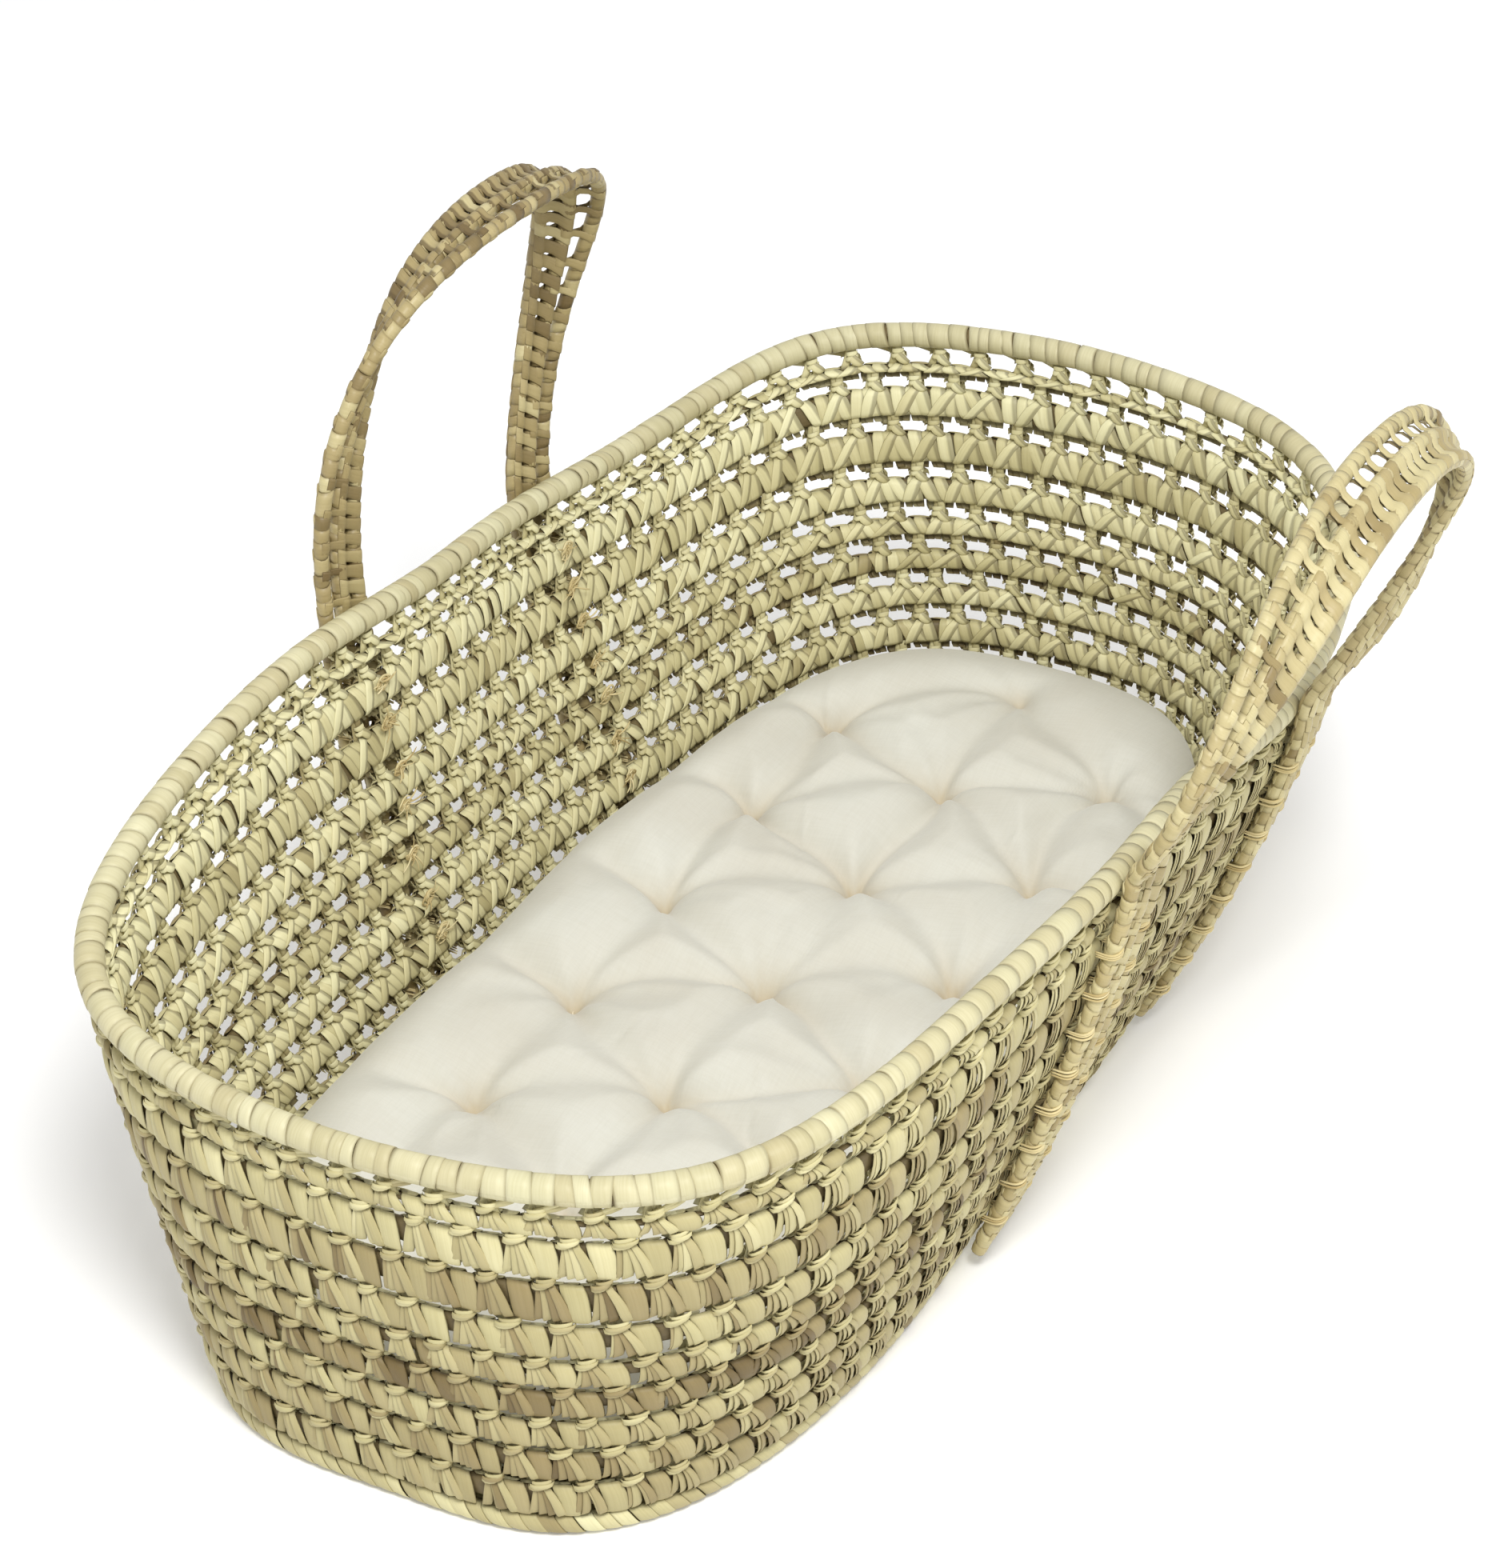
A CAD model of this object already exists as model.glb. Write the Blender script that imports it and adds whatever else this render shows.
from functools import partial
from math import atan2, cos, pi, radians, sin

import bpy
import numpy as np
from mathutils import Matrix, Vector


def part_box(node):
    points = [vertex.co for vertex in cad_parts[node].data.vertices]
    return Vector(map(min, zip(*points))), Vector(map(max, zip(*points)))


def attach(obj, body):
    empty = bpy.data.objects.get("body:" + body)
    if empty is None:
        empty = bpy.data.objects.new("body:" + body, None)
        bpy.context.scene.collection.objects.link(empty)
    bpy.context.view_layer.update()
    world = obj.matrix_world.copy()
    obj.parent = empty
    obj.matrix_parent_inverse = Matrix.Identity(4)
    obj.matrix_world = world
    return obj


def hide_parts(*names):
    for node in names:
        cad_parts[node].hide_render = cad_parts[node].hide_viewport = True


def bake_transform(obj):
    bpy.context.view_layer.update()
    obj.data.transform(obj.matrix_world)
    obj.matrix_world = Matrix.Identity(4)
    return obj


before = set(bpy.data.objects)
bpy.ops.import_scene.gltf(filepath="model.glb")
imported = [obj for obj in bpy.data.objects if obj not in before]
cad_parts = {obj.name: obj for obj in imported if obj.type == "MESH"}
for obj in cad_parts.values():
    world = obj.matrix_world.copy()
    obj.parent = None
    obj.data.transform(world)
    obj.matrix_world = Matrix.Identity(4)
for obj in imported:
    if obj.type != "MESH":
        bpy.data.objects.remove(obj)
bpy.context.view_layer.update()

# A moses basket of coiled palm leaf. Shapes are worked out in millimetres, in the CAD model's
# frame, and MM turns them into metres. The named values below repeat the CAD model's.
MM = 0.001
RIM_HALF_LENGTH = 410
RIM_HALF_WIDTH = 229
RIM_SQUARENESS = 4.8
RIM_WAVES = {1: -0.018, 3: -0.010, 4: 0.015, 6: 0.020}
RIM_BOW = 17
FLOOR_HALF_LENGTH = 396
FLOOR_HALF_WIDTH = 159
FLOOR_SQUARENESS = 3.4
FLOOR_WAVES = {1: -0.074, 4: 0.009, 5: 0.022}
RIM_HEIGHT_TERMS = (241.5, -51.5, -37, 60, 26)
WALL_THICKNESS = 9
WALL_BELLY = 0.515
ROW_LIMITS = (0.06, 0.17, 0.27, 0.363, 0.453, 0.538, 0.643, 0.765, 0.883, 0.966)
FLOOR_THICKNESS = 10
FLOOR_ROWS = 6
FLOOR_ROW_GAP = 0.5
FLOOR_CORE_HALF_WIDTH = 12
RIM_RADIUS = 7.5
ROD_RADIUS = 4.25
ROD_PITCH = 16.5
LEG_STANDOFF = 11.8
LEG_LIFT_LEVEL = 0.7
HINGE_STANDOFF = 14
HINGE_RISE = 8
LEG_SLANT = 13
TIE_COUNT = 8
HANDLES = {
    "left": {"side": 1, "legs": (-58, 150), "height": 196, "splay": (6, 6), "rise": 120,
             "crown": (131, 104), "shift": 50, "lean": 6, "curl": 0.062, "turn": 88},
    "right": {"side": -1, "legs": (-99, 139), "height": 178, "splay": (27, 20), "rise": 88,
              "crown": (150, 138), "shift": 50, "lean": 34, "curl": 0.096, "turn": 66},
}
MATTRESS_BOTTOM = 10.5
MATTRESS_TOP = 64
MATTRESS_MARGIN = 5
MATTRESS_WIDEST = 38  # height over the ground
MATTRESS_GRID = (280, 130)  # squares along and across
TUFT_SIDE_ROW = 89
TUFT_SIDE_PITCH = 107
TUFT_SIDE_FIRST = -289
TUFT_MIDDLE_PITCH = 114
TUFT_MIDDLE_FIRST = -248
TUFT_COUNT = 6
PUFF_REACH = 40  # from a fold to the top of the puff beside it
PUFF_HEIGHT = 27
TUFT_HOLLOW = 9  # depth and reach of the hollow round each tuft
EDGE_REACH = 34  # from the edge to where the pad is at its full height
UNDERSIDE_REACH = 14  # the same for its underside
FOLD_REACH = 140  # the furthest apart that two tufts are with a fold between them

# Camera, as the object was seen.
CAMERA_PLACE = (-1.9645, -0.9793, 1.5658)
CAMERA_YAW = 1.1039
CAMERA_PITCH = -0.5654
CAMERA_ROLL = 0.0085
CAMERA_LENS = 111.05
CAMERA_SHIFT = (-0.0050, 0.0013)

# Pale ground under the object, in metres, and light: even white from all round and two lamps,
# each with its place, the point it faces, its size and its power.
GROUND_REACH = 14
GROUND_DROP = -0.0005
GROUND_GLOW = 0.12
WORLD_STRENGTH = 0.74
LAMPS = {
    "key": ((-1.4, -1.0, 2.6), (0.1, 0, 0.15), 1.0, 70),
    "fill": ((0.2, -3.0, 1.3), (0, 0, 0.1), 2.0, 10),
}

# Weave.
KNOT_COUNT = 88  # knots all round each row
KNOT_PITCH = 27  # about how far apart they are
RIM_GAP = 5.0  # how much taller the openings under the rim are than the others
ROW_GAP = 10.8  # height of the openings between two rows
COIL_HALF_THICKNESS = 3.6
COIL_SQUARENESS = 2.6
KNOT_DROP = 2.6  # from the middle of the openings down to the knots
FLAT_OVERHANG = 6.4  # how far the outer leaves hang over the openings below them
FAN_OVERHANG = 4.6
PLEATS = 4  # in the fan under each knot
WRAPS_PER_KNOT = 3
# Widths of the strips of a row, from its top to its bottom.
FLAT_WIDTHS = np.array([12.5, 13.5, 14.0, 14.2, 14.0, 13.4, 12.6, 11.0])
PLEAT_WIDTHS = np.array([3.0, 3.8, 4.6, 5.2, 5.6, 5.4, 4.4])
WRAP_WIDTHS = np.array([8.4, 10.2, 10.8, 11.0, 10.8, 10.0, 8.0])
CROSSING_WIDTHS = np.array([6.0, 8.0, 9.0, 9.4, 8.6, 7.2, 5.0])
OUTER_TONE = 0.18  # leaf outside is darker, and inside lighter, than the row's own tone
INNER_TONE = -0.3
ROW_TONES = (0.55, 0.62, 0.50, 0.72, 0.55, 0.48, 0.62, 0.36, 0.42)  # 0 is pale leaf, 1 is brown
PLAIN_TONE = 0.55
CORE_TONE = 0.98
WALL_ROWS = len(ROW_LIMITS) - 1


# ---- shape of the wall

def superellipse(angle, half_length, half_width, squareness, waves):
    """Point of a rounded rectangle at an angle, with its hand-made waves."""
    along = np.abs(np.cos(angle) / half_length) ** squareness
    across = np.abs(np.sin(angle) / half_width) ** squareness
    radius = (along + across) ** (-1 / squareness)
    radius = radius * (1 + sum(size * np.cos(count * angle) for count, size in waves.items()))
    return radius * np.cos(angle), radius * np.sin(angle)


def rim_outline(angle):
    """Middle of the rim, seen from above."""
    return superellipse(angle, RIM_HALF_LENGTH, RIM_HALF_WIDTH, RIM_SQUARENESS, RIM_WAVES)


def floor_outline(angle, inset=0):
    """Oval of the floor, smaller all round by an inset."""
    return superellipse(angle, FLOOR_HALF_LENGTH - inset, FLOOR_HALF_WIDTH - inset,
                        FLOOR_SQUARENESS, FLOOR_WAVES)


def rim_height(x):
    """Height of the middle of the rim over the floor."""
    share = x / RIM_HALF_LENGTH
    return sum(term * share**power for power, term in enumerate(RIM_HEIGHT_TERMS))


def wall_middle(angle, level):
    """Middle of the wall's thickness at an angle and a level."""
    rim_x, rim_y = rim_outline(angle)
    floor_x, floor_y = floor_outline(angle)
    spread = level + WALL_BELLY * level * (1 - level)
    x = floor_x + (rim_x - floor_x) * spread
    y = floor_y + (rim_y - floor_y) * spread
    bow = RIM_BOW * ((rim_x / RIM_HALF_LENGTH) ** 2 - 0.4) * level
    return x, y + bow, level * rim_height(rim_x)


def wall_point(angle, level, outward):
    """Point of the wall moved outwards by a distance, square to the wall seen from above."""
    step = 0.002
    x, y, z = wall_middle(angle, level)
    ahead_x, ahead_y, _ = wall_middle(angle + step, level)
    back_x, back_y, _ = wall_middle(angle - step, level)
    along_x, along_y = ahead_x - back_x, ahead_y - back_y
    length = np.sqrt(along_x**2 + along_y**2)
    return np.stack([x + outward * along_y / length, y - outward * along_x / length, z], -1)


def side_of_wall(x, level, side):
    """How far the middle of the wall's long side lies from the X axis at a place along it."""
    low, high = 0.02 * pi, 0.98 * pi
    for _ in range(24):
        middle = (low + high) / 2
        if wall_middle(side * middle, level)[0] > x:
            low = middle
        else:
            high = middle
    return wall_middle(side * low, level)[1]


class Ring:
    """Arc length round a closed line, turned into an angle and back."""

    def __init__(self, outline):
        self.angles = np.linspace(0, 2 * pi, 1441)
        x, y = outline(self.angles)[:2]
        steps = np.hypot(np.diff(x), np.diff(y))
        self.lengths = np.concatenate([[0], np.cumsum(steps)])
        self.total = self.lengths[-1]

    def angle(self, length):
        """Angle at an arc length."""
        turns = np.floor(length / self.total)
        return np.interp(length - turns * self.total, self.lengths, self.angles) + turns * 2 * pi

    def length(self, angle):
        """Arc length at an angle."""
        turns = np.floor(angle / (2 * pi))
        return np.interp(angle - turns * 2 * pi, self.angles, self.lengths) + turns * self.total


# ---- mesh building

def add_object(name, data):
    """Object in the scene, for a mesh, a light or a camera."""
    thing = bpy.data.objects.new(name, data)
    bpy.context.scene.collection.objects.link(thing)
    return thing


class Mesh:
    """Grids of faces gathered into one mesh, with the leaf's own coordinates on each point."""

    def __init__(self):
        self.points, self.tint, self.fold, self.grain = [], [], [], []
        self.quads, self.caps, self.count = [], [], 0

    def add(self, points, tint, fold=0.0, grain=None, closed=False, flip=False):
        """Add tubes: points is (tubes, stations, points round, 3). Open tubes get end caps.

        flip turns the points round the other way, so that the faces look outwards."""
        if flip:
            points = points[:, :, ::-1]
        tubes, stations, around, _ = points.shape
        index = self.count + np.arange(tubes * stations * around).reshape(tubes, stations, around)
        ahead = np.roll(index, -1, axis=1) if closed else index[:, 1:]
        here = index if closed else index[:, :-1]
        side, ahead_side = np.roll(here, -1, axis=2), np.roll(ahead, -1, axis=2)
        self.quads.append(np.stack([here, side, ahead_side, ahead], -1).reshape(-1, 4))
        if not closed:
            self.caps.append(index[:, 0, ::-1].reshape(-1, around))
            self.caps.append(index[:, -1].reshape(-1, around))
        shape = (tubes, stations, around)
        self.points.append(points.reshape(-1, 3))
        self.tint.append(np.broadcast_to(np.reshape(tint, (-1, 1, 1)), shape).ravel())
        self.fold.append(np.broadcast_to(fold, shape).ravel())
        blank = np.zeros(shape + (2,)) if grain is None else np.broadcast_to(grain, shape + (2,))
        self.grain.append(blank.reshape(-1, 2))
        self.count += tubes * stations * around

    def make(self, name, material, slot, nodes, body="basket"):
        """Blender object with the gathered faces, which stands for CAD nodes.

        It rides on a body, unless that is None for a piece that is blended between two."""
        points = np.concatenate(self.points) * MM
        rings = self.quads + self.caps
        corners = np.concatenate([ring.ravel() for ring in rings])
        sizes = np.concatenate([np.full(len(ring), ring.shape[1]) for ring in rings])
        mesh = bpy.data.meshes.new(name)
        mesh.vertices.add(len(points))
        mesh.vertices.foreach_set("co", points.ravel())
        mesh.loops.add(len(corners))
        mesh.loops.foreach_set("vertex_index", corners.astype(np.int32))
        mesh.polygons.add(len(sizes))
        mesh.polygons.foreach_set("loop_start", (np.cumsum(sizes) - sizes).astype(np.int32))
        mesh.update(calc_edges=True)
        mesh.polygons.foreach_set("use_smooth", np.full(len(sizes), True))
        for key, values in (("tint", self.tint), ("fold", self.fold)):
            layer = mesh.attributes.new(key, "FLOAT", "POINT")
            layer.data.foreach_set("value", np.concatenate(values).astype(np.float32))
        grain = np.concatenate(self.grain)
        grain = np.column_stack([grain, np.concatenate(self.tint) * 37]).astype(np.float32)
        layer = mesh.attributes.new("grain", "FLOAT_VECTOR", "POINT")
        layer.data.foreach_set("vector", grain.ravel())
        mesh.materials.append(material)
        thing = add_object(name, mesh)
        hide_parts(*nodes)
        if body:
            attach(thing, body)
        return thing


# Cross-section of one leaf strip: places across it (-1 to 1) and whether they're underneath.
STRIP_ACROSS = np.array([-1, -0.88, -0.45, 0, 0.45, 0.88, 1, 0.6, -0.6])
STRIP_UNDER = np.array([0.5, 0, 0, 0, 0, 0, 0.5, 1, 1])
STRIP_FOLD = np.array([1, 0.3, 0, 0, 0, 0.3, 1, 1, 1])  # 1 where an edge is tucked in shadow


def strip_section(width, lift, crown, tilt=0.0, thickness=0.7):
    """Places across a strip and their lift, for numbers or arrays of (strips, stations)."""
    width, lift, crown, tilt = (
        values[..., None] for values in np.broadcast_arrays(width, lift, crown, tilt)
    )
    rise = crown * (1 - STRIP_ACROSS**2) + tilt * STRIP_ACROSS
    return STRIP_ACROSS * width / 2, lift + rise - STRIP_UNDER * thickness


def strip_grain(across, along, rng):
    """Leaf coordinates: millimetres across, with a start of each strip's own, and along."""
    seed = rng.uniform(0, 500, len(across))
    return np.stack([across + seed[:, None, None], np.broadcast_to(along, across.shape)], -1)


def strip_tones(tone, spread, rng, count):
    """Tone of each strip: one tone and the strips' own differences."""
    return np.clip(tone + rng.normal(0, spread, count), 0.02, 0.98)


def unit(vectors):
    """The same directions with a length of one."""
    return vectors / np.linalg.norm(vectors, axis=-1, keepdims=True)


def soften(line):
    """Average of each point of a line with its neighbours. The ends stay."""
    line = line.copy()
    line[1:-1] = (line[:-2] + 2 * line[1:-1] + line[2:]) / 4
    return line


def arc_lengths(points):
    """Distance of each point of a line from its start, along the line."""
    return np.concatenate([[0], np.cumsum(np.linalg.norm(np.diff(points, axis=0), axis=1))])


def along_line(along, lengths, *lines):
    """What each line has at places along it. lengths are the arc lengths of its points."""
    return [np.stack([np.interp(along, lengths, line[:, axis]) for axis in range(3)], -1)
            for line in lines]


def round_line(turn, side, other):
    """Directions all round a line, at each of its points."""
    return np.cos(turn)[:, None] * side[:, None] + np.sin(turn)[:, None] * other[:, None]


def coil_point(turn, half_height, half_thickness):
    """Height and thickness on a coil's outline. turn goes from -1 (bottom) to 1 (top)."""
    angle = np.clip(turn, -1, 1) * pi / 2
    power = 2 / COIL_SQUARENESS
    height = half_height * np.sign(np.sin(angle)) * np.abs(np.sin(angle)) ** power
    return height, half_thickness * np.abs(np.cos(angle)) ** power


def coil_strips(mesh, place, face, top, bottom, widths, turns, half_height, lift, crown, tilt, tint,
                rng, bow=0.0):
    """Strips that lie on one face of a coil, from its top to its bottom.

    top and bottom are places along the coil, widths the width at each station, turns where the
    stations lie round the coil, and place maps (along, height, outward) into space."""
    count, stations = len(top), len(turns)
    share = np.linspace(0, 1, stations)
    ease = share * share * (3 - 2 * share)
    middle = top[:, None] * (1 - ease) + bottom[:, None] * ease
    middle = middle + bow * np.sin(pi * share)
    width = np.broadcast_to(widths, (count, stations)) * rng.uniform(0.88, 1.1, (count, 1))
    size = np.sin(pi * np.clip(share, 0.04, 0.96)) ** 0.5
    across, rise = strip_section(width, lift, crown * size * width / 9, tilt)
    height, outward = coil_point(turns, half_height, COIL_HALF_THICKNESS)
    height = height[None, :, None] + 0 * across
    slope = np.sign(turns) * np.clip(np.abs(turns) * 1.5 - 0.8, 0, 1)
    height = height + rise * slope[None, :, None]
    outward = outward[None, :, None] + rise * np.sqrt(1 - slope[None, :, None] ** 2)
    points = place(middle[..., None] + across, height, face * outward)
    along = (share * 2 * half_height)[None, :, None]
    mesh.add(points, tint, STRIP_FOLD, strip_grain(across, along, rng), flip=face < 0)


def loop_strips(mesh, place, face, centre, height, half_length, depth, width, tint, rng, start,
                slant, stations=7, crown=0.35):
    """Short wraps that lie along a coil and dip into it at both ends, like a knot's binding."""
    turn = np.linspace(0, pi, stations)
    along = centre[:, None] - np.cos(turn) * half_length
    out = start + depth * np.sin(turn) ** 0.7
    pinch = width * (0.55 + 0.45 * np.sin(turn))
    across, rise = strip_section(np.broadcast_to(pinch, along.shape), out, crown)
    lean = (slant * np.cos(turn))[None, :, None]
    points = place(along[..., None], height[:, None, None] - across + lean, face * rise)
    reach = np.broadcast_to(turn * half_length / 2, along.shape)[..., None]
    mesh.add(points, tint, 0.65 * STRIP_FOLD, strip_grain(across, reach, rng), flip=face < 0)


def ring_tube(mesh, place, length, half_height, half_thickness, tint, stations=360):
    """Plain closed coil that backs the strips."""
    along = np.linspace(0, length, stations, endpoint=False)
    turn = np.linspace(0, 2 * pi, 10, endpoint=False)
    height = half_height * np.sign(np.sin(turn)) * np.abs(np.sin(turn)) ** 0.75
    outward = half_thickness * np.sign(np.cos(turn)) * np.abs(np.cos(turn)) ** 0.75
    grid = np.ones((stations, 10))
    points = place(along[:, None] * grid, height * grid, outward * grid)[None]
    grain = np.stack([height * grid * 2, along[:, None] * grid], -1)[None]
    mesh.add(points, np.array([tint]), 1.0, grain, closed=True)


# ---- the wall's weave

def wall_map(ring, centre_level, level_step):
    """Map from (along, height, outward) of one row into space. level_step is 1 mm as a level."""
    def place(along, height, outward):
        along, height, outward = np.broadcast_arrays(along, height, outward)
        angle = ring.angle(along)
        return wall_point(angle, centre_level + height * level_step, outward)
    return place


def knot_angles(number, rng):
    """Angles of the knots along the top of one row. Rows are staggered like bricks."""
    level = ROW_LIMITS[number]
    ring = Ring(lambda angle: wall_middle(angle, level))
    spacing = ring.total / KNOT_COUNT
    along = (np.arange(KNOT_COUNT) + 0.5 * (number % 2)) * spacing
    return ring.angle(along + rng.normal(0, 1.5, KNOT_COUNT))


def row_tones(number, rng, spread, shift, count=KNOT_COUNT):
    """Tones of strips, round the row's own tone with a shift."""
    return strip_tones(ROW_TONES[number - 1] + shift, spread, rng, count)


def make_row(number, knots):
    """One coiled row: flat strips and fans outside, wraps inside.

    Returns its mesh, the map of its places, where its knots are and how high its top is."""
    rng = np.random.default_rng(100 + number)
    low, high = ROW_LIMITS[number - 1], ROW_LIMITS[number]
    centre = (low + high) / 2
    ring = Ring(lambda angle: wall_middle(angle, centre))
    row_height = (high - low) * RIM_HEIGHT_TERMS[0]
    half = row_height / 2 - ROW_GAP / 2
    level_step = (high - low) / row_height
    if number == WALL_ROWS:
        half -= RIM_GAP / 2
        centre -= RIM_GAP / 2 * level_step
    place = wall_map(ring, centre, level_step)
    mesh = Mesh()
    ring_tube(mesh, place, ring.total, half - 1.0, 2.5, 0.93)
    upper = ring.length(knots[number])
    spacing = ring.total / KNOT_COUNT
    scale = spacing / KNOT_PITCH
    tones = partial(row_tones, number, rng)

    def hung(drop):
        """Place of leaves whose lower ends hang over the openings below them."""
        return lambda along, height, outward: place(along, height - drop / 2, outward)

    # Outside: one broad flat strip between the fans.
    between = upper + spacing / 2 + rng.normal(0, 0.8, KNOT_COUNT)
    coil_strips(mesh, hung(FLAT_OVERHANG), 1, between - 0.8, between + 1.4, FLAT_WIDTHS * scale,
                np.linspace(0.98, -0.84, len(FLAT_WIDTHS)), half + FLAT_OVERHANG / 2, 0.35, 0.95,
                0.35, tones(0.09, OUTER_TONE - 0.06), rng, bow=1.2)
    # Outside: pleats that fan out under each knot, each lapping over the one before.
    for pleat in range(PLEATS):
        fan = pleat - (PLEATS - 1) / 2
        top = upper + fan * 1.8 + rng.normal(0, 0.5, KNOT_COUNT)
        bottom = upper + 2.0 + fan * 4.6 + rng.normal(0, 1.1, KNOT_COUNT)
        coil_strips(mesh, hung(FAN_OVERHANG), 1, top, bottom, PLEAT_WIDTHS * scale,
                    np.linspace(1.0, -0.9, len(PLEAT_WIDTHS)), half + FAN_OVERHANG / 2,
                    0.9 + 0.34 * pleat, 0.9, -0.65, tones(0.09, OUTER_TONE), rng, bow=1.5)

    # Inside: broad wraps that lean as the coil's helix does.
    steps = np.arange(WRAPS_PER_KNOT) / WRAPS_PER_KNOT * spacing
    wraps = (upper[:, None] + steps[None, :]).ravel()
    wraps = wraps + rng.normal(0, 0.9, len(wraps))
    lean = 3.4 + rng.normal(0, 1.9, len(wraps))
    turns = np.linspace(1.0, -1.0, len(WRAP_WIDTHS))
    coil_strips(mesh, place, -1, wraps + lean, wraps - lean, WRAP_WIDTHS * scale, turns, half, 0.25,
                0.35, 0.3, tones(0.13, INNER_TONE + 0.06, len(wraps)), rng)
    # Inside: from each stitch a strip crosses the wraps the other way.
    reach = rng.normal(9.5, 3.6, KNOT_COUNT)
    coil_strips(mesh, place, -1, upper - 1.0, upper - 1.0 + reach, CROSSING_WIDTHS * scale, turns,
                half, 0.9, 0.35, 0.2, tones(0.1, INNER_TONE), rng, bow=1.0)
    return mesh, place, upper, row_height / 2


def make_knots(mesh, number, place, upper, top):
    """The stitches between a row and the one above it, with openings left between them."""
    rng = np.random.default_rng(300 + number)
    count = KNOT_COUNT
    edge = np.full(count, top)
    top_row = number == WALL_ROWS
    reach = ROW_GAP / 2 + (1.8 + RIM_GAP / 2 if top_row else 1.8)
    tones = partial(row_tones, number, rng)

    # Two flat posts through the gap; under the rim they spread into a V.
    around = np.linspace(0, 2 * pi, 8, endpoint=False)
    share = np.linspace(-1, 1, 5)
    for strand in (-1, 1):
        slant = strand * (2.6 if top_row else 0.7) + rng.normal(0, 0.5, count)
        along = upper[:, None] + strand * 1.5 + slant[:, None] * share[None, :]
        height = (edge[:, None] - reach * share[None, :])[..., None]
        across = 2.3 * np.cos(around)[None, :] * (1 + 0.3 * share**2)[:, None]
        outward = 1.1 * np.sin(around)[None, :] + 0 * across + strand * 0.5
        points = place(along[..., None] + across[None], height, outward[None])
        grain = np.stack(np.broadcast_arrays(across * 2, height), -1)
        mesh.add(points, tones(0.1, -0.1), 0.25, grain)
    # Outside: the binding of each knot, three strips side by side.
    size = rng.uniform(0.85, 1.15, count)
    for strand in (-1, 0, 1):
        loop_strips(mesh, place, 1, upper + 0.9 * strand + rng.normal(0, 0.4, count),
                    edge + strand * 1.9 - KNOT_DROP, (5.8 - 0.8 * abs(strand)) * size[:, None],
                    4.6 - 0.8 * abs(strand), 3.3, tones(0.08, 0.04), rng, 1.5, -1.1, crown=0.6)
    # Under the rim two more strips rise from each knot to the rim, twisted together.
    if top_row:
        for strand in (-1, 1):
            loop_strips(mesh, place, 1, upper + 8.0 + strand + rng.normal(0, 0.6, count),
                        edge + 1.5 + strand * 1.3, 9.5 * size[:, None], 2.6, 3.2,
                        tones(0.1, 0.1), rng, 1.2, -4.2 - 0.8 * strand, stations=6, crown=0.5)
    # Inside: two small wraps round the stitch.
    for strand, half_length, slant in ((-1.3, 3.9, 0.6), (1.6, 3.5, 0.2)):
        loop_strips(mesh, place, -1, upper + rng.normal(0, 0.5, count), edge + strand,
                    half_length, 2.4, 3.2, tones(0.1, INNER_TONE), rng, 1.0, slant)
    # Inside: a strip that cuts the lower corner of the opening.
    share = np.linspace(0, 1, 6)
    along = upper[:, None] + 1.0 - 7.5 * share
    height = edge[:, None] + 0.5 - 7.0 * share
    swell = np.sin(pi * share)
    width = np.broadcast_to(4.6 + 1.8 * swell, along.shape)
    across, rise = strip_section(width, 2.6 + 1.4 * swell, 0.4)
    points = place(along[..., None] + across * 0.72, height[..., None] - across * 0.5, -rise)
    mesh.add(points, tones(0.1, INNER_TONE), STRIP_FOLD,
             strip_grain(across, (share * 12)[None, :, None], rng), flip=True)


def make_wall(leaf):
    """All the rows, from the foot to the rim."""
    rng = np.random.default_rng(7)
    knots = [knot_angles(number, rng) for number in range(WALL_ROWS + 1)]
    for number in range(1, WALL_ROWS + 1):
        mesh, place, upper, top = make_row(number, knots)
        make_knots(mesh, number, place, upper, top)
        mesh.make(f"wall_row_{number}_weave", leaf, "leaf_weave", [f"wall_row_{number}"])


def ring_wraps(mesh, place, length, half_height, width, lean, rng):
    """Leaning wraps on both faces of a plain coil."""
    count = int(length / width)
    along = np.arange(count) * length / count + rng.normal(0, 0.4, count)
    plain_wraps(mesh, place, along, half_height, width * 1.15, lean, rng)


def plain_wraps(mesh, place, along, half_height, width, lean, rng):
    """Wraps at places along a plain coil, on both of its faces."""
    for face in (-1, 1):
        tint = strip_tones(PLAIN_TONE, 0.15, rng, len(along))
        coil_strips(mesh, place, face, along - face * lean, along + face * lean, np.full(7, width),
                    np.linspace(1.0, -1.0, 7), half_height, 0.25, 0.6, 0.35, tint, rng)


def make_foot(leaf):
    """The lowest row of the wall, which turns in to the floor."""
    rng = np.random.default_rng(41)
    top = ROW_LIMITS[0]
    centre = top / 2
    ring = Ring(lambda angle: wall_middle(angle, centre))
    height = top * RIM_HEIGHT_TERMS[0]
    place = wall_map(ring, centre, top / height)
    mesh = Mesh()
    ring_tube(mesh, place, ring.total, height / 2 - 1.4, 2.4, CORE_TONE)
    ring_wraps(mesh, place, ring.total, height / 2 - 1.2, 9, 3, rng)
    mesh.make("foot_row_weave", leaf, "leaf_weave", ["foot_row"])


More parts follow.
